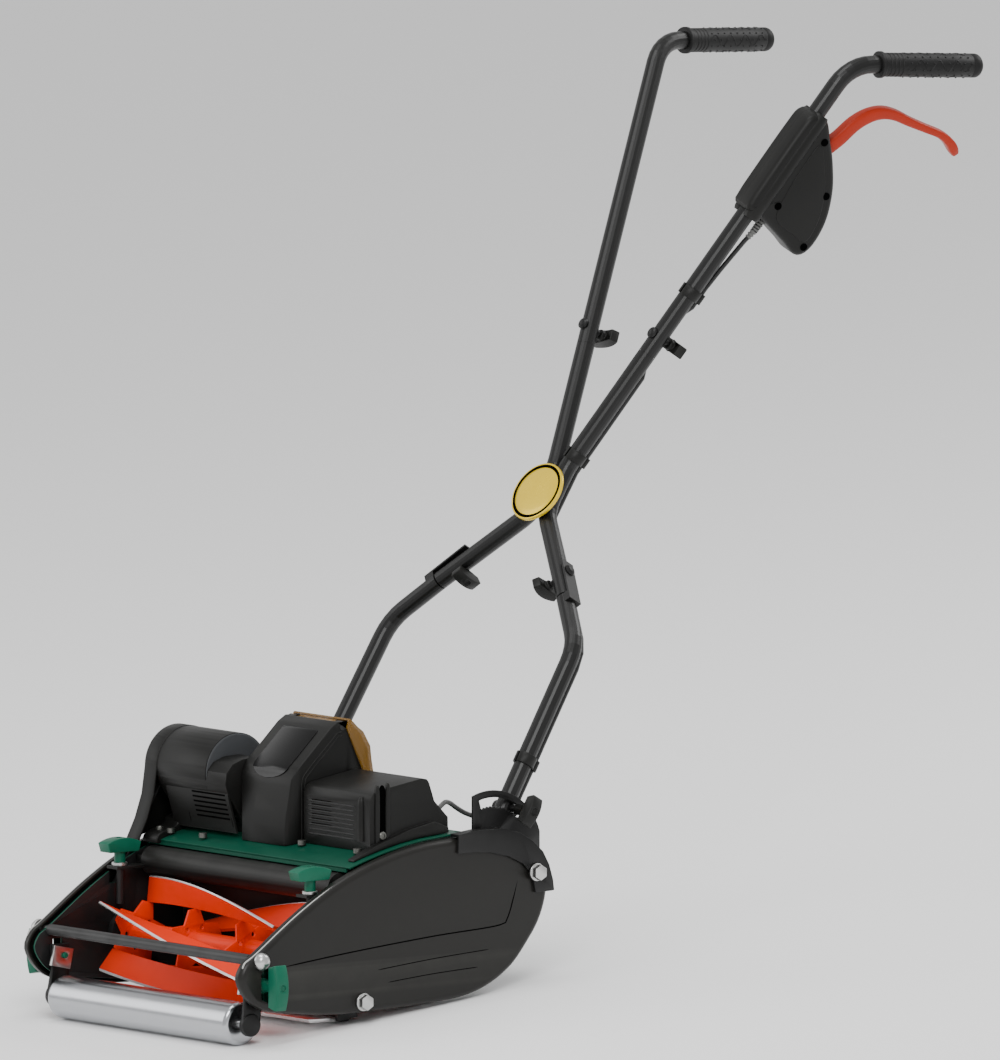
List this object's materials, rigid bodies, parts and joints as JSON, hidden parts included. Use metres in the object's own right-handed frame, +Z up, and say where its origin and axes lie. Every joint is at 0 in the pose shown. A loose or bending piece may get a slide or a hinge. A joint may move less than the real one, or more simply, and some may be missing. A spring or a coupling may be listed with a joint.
{
  "type": "reel mower",
  "caption": "Battery-powered walk-behind reel mower with helical cutting blades, steel front roller, full-width rear roller and an adjustable hourglass tube handle with a squeeze switch.",
  "frame": {"origin": "on the ground at the middle of the line where the rear roller rests", "axes": "+Z up, +X to the operator's left along the roller axes, -Y the direction of mowing"},
  "size_m": [0.4376, 1.1031, 0.901],
  "materials": {
    "green_paint": "satin green paint",
    "green_plastic": "moulded green plastic",
    "black_plastic": "fine textured black plastic",
    "cover_plastic": "satin black plastic",
    "black_steel": "satin black powder coat",
    "tube_black": "satin black tube",
    "blade_orange": "orange-red paint with ground edges",
    "roller_steel": "polished steel",
    "zinc": "zinc-plated steel",
    "grip_rubber": "dotted soft grip",
    "roller_rubber": "ribbed black roller",
    "lever_red": "brick-red plastic",
    "latch_red": "red plastic",
    "pack_green": "dark green plastic",
    "lid_amber": "amber translucent plastic",
    "badge_gold": "gold plate with a black ring",
    "board_green": "circuit board",
    "motor_grey": "cast motor case",
    "cable_black": "flexible cable sheath",
    "belt_black": "toothless drive belt"
  },
  "bodies": {
    "chassis": {"side_frames": "green_paint", "side_cover_left": "cover_plastic", "side_cover_right": "cover_plastic", "cover_bolts": "zinc", "tie_rod": "black_steel", "deck": "green_paint", "deflector": "black_plastic", "bottom_blade": "blade_orange", "blade_carrier": "black_steel", "motor_housing": "black_plastic", "drive_cover": "black_plastic", "motor": "motor_grey", "drive_belt": "belt_black", "battery_tower": "black_plastic", "battery_pack": "pack_green", "lid_pin": "black_steel", "control_housing": "black_plastic", "control_board": "board_green", "housing_screws": "zinc", "reel_bearings": "black_steel", "rear_axle": "zinc", "handle_sectors": "black_steel", "cable_loop": "cable_black"},
    "reel": {"reel_shaft": "black_steel", "reel_spiders": "blade_orange", "reel_blades": "blade_orange", "reel_pulley": "black_plastic"},
    "motor_rotor": {"motor_pulley": "zinc"},
    "roller_carriage": {"front_axle": "zinc", "roller_arms": "black_steel", "nut_plates": "zinc"},
    "front_roller": {"front_roller": "roller_steel"},
    "rear_roller": {"rear_roller": "roller_rubber"},
    "height_knob_left": {"height_knob_left": "green_plastic"},
    "height_knob_right": {"height_knob_right": "green_plastic"},
    "adjuster_left": {"adjuster_left": "green_plastic"},
    "adjuster_right": {"adjuster_right": "green_plastic"},
    "battery_lid": {"battery_lid": "lid_amber"},
    "battery_latch": {"battery_latch": "latch_red"},
    "handle": {"lower_tube_left": "tube_black", "lower_tube_right": "tube_black", "middle_tubes": "tube_black", "upper_tube_left": "tube_black", "upper_tube_right": "tube_black", "handle_bolts": "black_steel", "badge": "badge_gold", "grips": "grip_rubber", "switch_case_outer": "black_plastic", "switch_case_inner": "black_plastic", "lever_pin": "zinc", "microswitch": "black_plastic", "handle_cable": "cable_black", "cable_clips": "black_plastic"},
    "clamp_knob_left": {"clamp_knob_left": "black_plastic"},
    "clamp_knob_right": {"clamp_knob_right": "black_plastic"},
    "joint_knob_left": {"joint_knob_left": "black_plastic"},
    "joint_knob_right": {"joint_knob_right": "black_plastic"},
    "upper_knob_left": {"upper_knob_left": "black_plastic"},
    "upper_knob_right": {"upper_knob_right": "black_plastic"},
    "switch_lever": {"switch_lever": "lever_red"}
  },
  "joints": [
    {"name": "reel_spin", "type": "hinge", "parent": "chassis", "child": "reel", "pos_m": [0, -0.14783, 0.07401], "axis": [1, 0, 0], "continuous": true},
    {"name": "motor_spin", "type": "hinge", "parent": "chassis", "child": "motor_rotor", "pos_m": [0, -0.04764, 0.23559], "axis": [1, 0, 0], "continuous": true},
    {"name": "height_adjust", "type": "slide", "parent": "chassis", "child": "roller_carriage", "axis": [0, 0.1146, 0.9934], "range_m": [-0.006, 0.008]},
    {"name": "front_roller_spin", "type": "hinge", "parent": "roller_carriage", "child": "front_roller", "pos_m": [0, -0.24832, 0.0232], "axis": [1, 0, 0], "continuous": true},
    {"name": "rear_roller_spin", "type": "hinge", "parent": "chassis", "child": "rear_roller", "pos_m": [0, 0, 0.064], "axis": [1, 0, 0], "continuous": true},
    {"name": "height_knob_left_turn", "type": "hinge", "parent": "roller_carriage", "child": "height_knob_left", "pos_m": [0.18, -0.23742, 0.06523], "axis": [1, 0, 0], "range_deg": [-180, 180]},
    {"name": "height_knob_right_turn", "type": "hinge", "parent": "roller_carriage", "child": "height_knob_right", "pos_m": [-0.18, -0.23742, 0.06523], "axis": [1, 0, 0], "range_deg": [-180, 180]},
    {"name": "adjuster_left_turn", "type": "hinge", "parent": "chassis", "child": "adjuster_left", "pos_m": [0.165, -0.14981, 0.15276], "axis": [0, 0.1146, 0.9934], "range_deg": [-180, 180]},
    {"name": "adjuster_right_turn", "type": "hinge", "parent": "chassis", "child": "adjuster_right", "pos_m": [-0.165, -0.14981, 0.15276], "axis": [0, 0.1146, 0.9934], "range_deg": [-180, 180]},
    {"name": "battery_lid_open", "type": "hinge", "parent": "chassis", "child": "battery_lid", "pos_m": [0, 0.00459, 0.28694], "axis": [1, 0, 0], "range_deg": [0, 88]},
    {"name": "battery_latch_press", "type": "slide", "parent": "chassis", "child": "battery_latch", "axis": [0, -0.9934, 0.1146], "range_m": [0, 0.0025], "stiffness_N_per_m": 900},
    {"name": "handle_angle", "type": "hinge", "parent": "chassis", "child": "handle", "pos_m": [0, 0.08295, 0.14603], "axis": [-1, 0, 0], "range_deg": [-44, 8], "deforming": ["cable_loop"]},
    {"name": "clamp_knob_left_turn", "type": "hinge", "parent": "handle", "child": "clamp_knob_left", "pos_m": [0.183, 0.12012, 0.18792], "axis": [1, 0, 0], "range_deg": [-180, 180]},
    {"name": "clamp_knob_right_turn", "type": "hinge", "parent": "handle", "child": "clamp_knob_right", "pos_m": [-0.183, 0.12012, 0.18792], "axis": [1, 0, 0], "range_deg": [-180, 180]},
    {"name": "joint_knob_left_turn", "type": "hinge", "parent": "handle", "child": "joint_knob_left", "pos_m": [0.07501, 0.27495, 0.39293], "axis": [-0.7111, -0.4348, -0.5525], "range_deg": [-180, 180]},
    {"name": "joint_knob_right_turn", "type": "hinge", "parent": "handle", "child": "joint_knob_right", "pos_m": [-0.07501, 0.27495, 0.39293], "axis": [0.7111, -0.4348, -0.5525], "range_deg": [-180, 180]},
    {"name": "upper_knob_left_turn", "type": "hinge", "parent": "handle", "child": "upper_knob_left", "pos_m": [0.05942, 0.47152, 0.61714], "axis": [0, 0.7858, -0.6184], "range_deg": [-180, 180]},
    {"name": "upper_knob_right_turn", "type": "hinge", "parent": "handle", "child": "upper_knob_right", "pos_m": [-0.05942, 0.47152, 0.61714], "axis": [0, 0.7858, -0.6184], "range_deg": [-180, 180]},
    {"name": "switch_lever_squeeze", "type": "hinge", "parent": "handle", "child": "switch_lever", "pos_m": [0.13148, 0.62854, 0.79411], "axis": [0.9565, -0.1805, -0.2293], "range_deg": [0, 12], "stiffness_Nm_per_rad": 1.5, "springref_deg": -14.32}
  ],
  "couplings": [
    {"joint": "motor_spin", "follows": "reel_spin", "ratio": 2.5}
  ]
}
